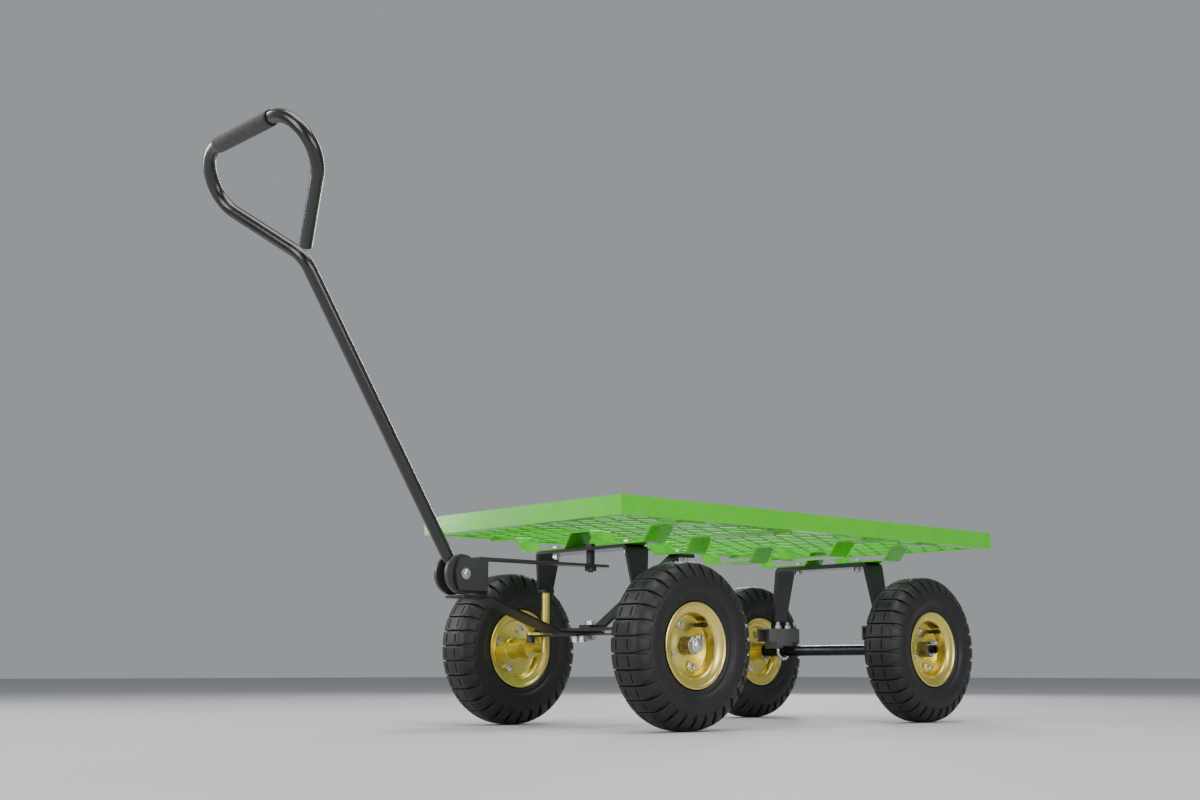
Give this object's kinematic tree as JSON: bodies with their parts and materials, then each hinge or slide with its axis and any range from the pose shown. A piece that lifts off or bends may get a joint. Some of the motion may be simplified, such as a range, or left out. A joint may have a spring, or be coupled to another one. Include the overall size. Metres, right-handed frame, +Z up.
{
  "type": "garden cart",
  "caption": "Flat mesh-deck garden cart on pneumatic tyres, with linked front steering and a folding loop handle with a foam grip.",
  "frame": {"origin": "on the ground, under the centre of the bounding box", "axes": "+X forwards to the handle, +Y to the cart's left, +Z up"},
  "size_m": [1.4916, 0.502, 0.869],
  "materials": {
    "deck_paint": "glossy light green powder coat",
    "black_paint": "satin black powder coat",
    "graphite_paint": "satin dark grey powder coat",
    "saddle_paint": "grey paint",
    "bright_zinc": "bright zinc plate",
    "axle_steel": "blackened drawn steel",
    "yellow_zinc": "pale yellow zinc plate",
    "handle_enamel": "gloss black enamel",
    "grip_foam": "soft black foam",
    "tyre_rubber": "black tyre rubber",
    "hub_chrome": "dark chrome plate",
    "stem_rubber": "black rubber"
  },
  "bodies": {
    "chassis": {"axle_saddles": "saddle_paint", "brace_strap": "deck_paint", "deck_front_rail": "deck_paint", "deck_left_rail": "deck_paint", "deck_mesh": "deck_paint", "deck_rear_rail": "deck_paint", "deck_right_rail": "deck_paint", "diagonal_brace": "black_paint", "front_axle_beam": "black_paint", "front_bracket": "black_paint", "front_strap": "deck_paint", "lower_pivot_bolt": "bright_zinc", "middle_strap": "deck_paint", "rear_axle": "axle_steel", "rear_axle_pins": "bright_zinc", "rear_bracket": "black_paint", "rear_strap": "deck_paint", "rear_u_bolts": "bright_zinc", "strap_bolts": "bright_zinc", "upper_pivot_bolt": "graphite_paint"},
    "tongue": {"tongue_lower_plate": "black_paint", "tongue_upper_strap": "graphite_paint", "tongue_yoke": "graphite_paint", "tongue_joint_bolts": "bright_zinc", "handle_pivot_bolt": "bright_zinc"},
    "handle": {"handle_tube": "handle_enamel", "handle_grip": "grip_foam", "handle_cheeks": "graphite_paint"},
    "left_knuckle_body": {"left_knuckle": "yellow_zinc", "left_joint_bolt": "black_paint", "left_axle_nut": "bright_zinc"},
    "right_knuckle_body": {"right_knuckle": "yellow_zinc", "right_joint_bolt": "black_paint", "right_axle_nut": "bright_zinc"},
    "left_rod": {"left_tie_rod": "black_paint"},
    "right_rod": {"right_tie_rod": "black_paint"},
    "front_left_wheel": {"front_left_tyre": "tyre_rubber", "front_left_rim_outer": "yellow_zinc", "front_left_rim_inner": "yellow_zinc", "front_left_hub": "hub_chrome", "front_left_rim_bolts": "bright_zinc", "front_left_valve_stem": "stem_rubber"},
    "front_right_wheel": {"front_right_tyre": "tyre_rubber", "front_right_rim_outer": "yellow_zinc", "front_right_rim_inner": "yellow_zinc", "front_right_hub": "hub_chrome", "front_right_rim_bolts": "bright_zinc", "front_right_valve_stem": "stem_rubber"},
    "rear_left_wheel": {"rear_left_tyre": "tyre_rubber", "rear_left_rim_outer": "yellow_zinc", "rear_left_rim_inner": "yellow_zinc", "rear_left_hub": "hub_chrome", "rear_left_rim_bolts": "bright_zinc", "rear_left_valve_stem": "stem_rubber"},
    "rear_right_wheel": {"rear_right_tyre": "tyre_rubber", "rear_right_rim_outer": "yellow_zinc", "rear_right_rim_inner": "yellow_zinc", "rear_right_hub": "hub_chrome", "rear_right_rim_bolts": "bright_zinc", "rear_right_valve_stem": "stem_rubber"}
  },
  "joints": [
    {"name": "tongue_steer", "type": "hinge", "parent": "chassis", "child": "tongue", "pos_m": [0.06018, 0, 0.1535], "axis": [0, 0, 1], "range_deg": [-35, 35]},
    {"name": "left_knuckle_steer", "type": "hinge", "parent": "chassis", "child": "left_knuckle_body", "pos_m": [0.06018, 0.1156, 0.19], "axis": [0, 0, 1], "range_deg": [-35, 35]},
    {"name": "right_knuckle_steer", "type": "hinge", "parent": "chassis", "child": "right_knuckle_body", "pos_m": [0.06018, -0.1156, 0.19], "axis": [0, 0, 1], "range_deg": [-35, 35]},
    {"name": "left_rod_swing", "type": "hinge", "parent": "tongue", "child": "left_rod", "pos_m": [0.08518, 0.0085, 0.1495], "axis": [0, 0, 1], "range_deg": [-35, 35]},
    {"name": "right_rod_swing", "type": "hinge", "parent": "tongue", "child": "right_rod", "pos_m": [0.08518, -0.0085, 0.1495], "axis": [0, 0, 1], "range_deg": [-35, 35]},
    {"name": "handle_fold", "type": "hinge", "parent": "tongue", "child": "handle", "pos_m": [0.33918, 0, 0.238], "axis": [0, -1, 0], "range_deg": [-75, 52]},
    {"name": "front_left_spin", "type": "hinge", "parent": "left_knuckle_body", "child": "front_left_wheel", "pos_m": [0.06018, 0.212, 0.13], "axis": [0, 1, 0], "continuous": true},
    {"name": "front_right_spin", "type": "hinge", "parent": "right_knuckle_body", "child": "front_right_wheel", "pos_m": [0.06018, -0.212, 0.13], "axis": [0, 1, 0], "continuous": true},
    {"name": "rear_left_spin", "type": "hinge", "parent": "chassis", "child": "rear_left_wheel", "pos_m": [-0.56082, 0.208, 0.13], "axis": [0, 1, 0], "continuous": true},
    {"name": "rear_right_spin", "type": "hinge", "parent": "chassis", "child": "rear_right_wheel", "pos_m": [-0.56082, -0.208, 0.13], "axis": [0, 1, 0], "continuous": true}
  ],
  "couplings": [
    {"joint": "left_knuckle_steer", "follows": "tongue_steer", "ratio": 1},
    {"joint": "right_knuckle_steer", "follows": "tongue_steer", "ratio": 1},
    {"joint": "left_rod_swing", "follows": "tongue_steer", "ratio": -1},
    {"joint": "right_rod_swing", "follows": "tongue_steer", "ratio": -1}
  ]
}
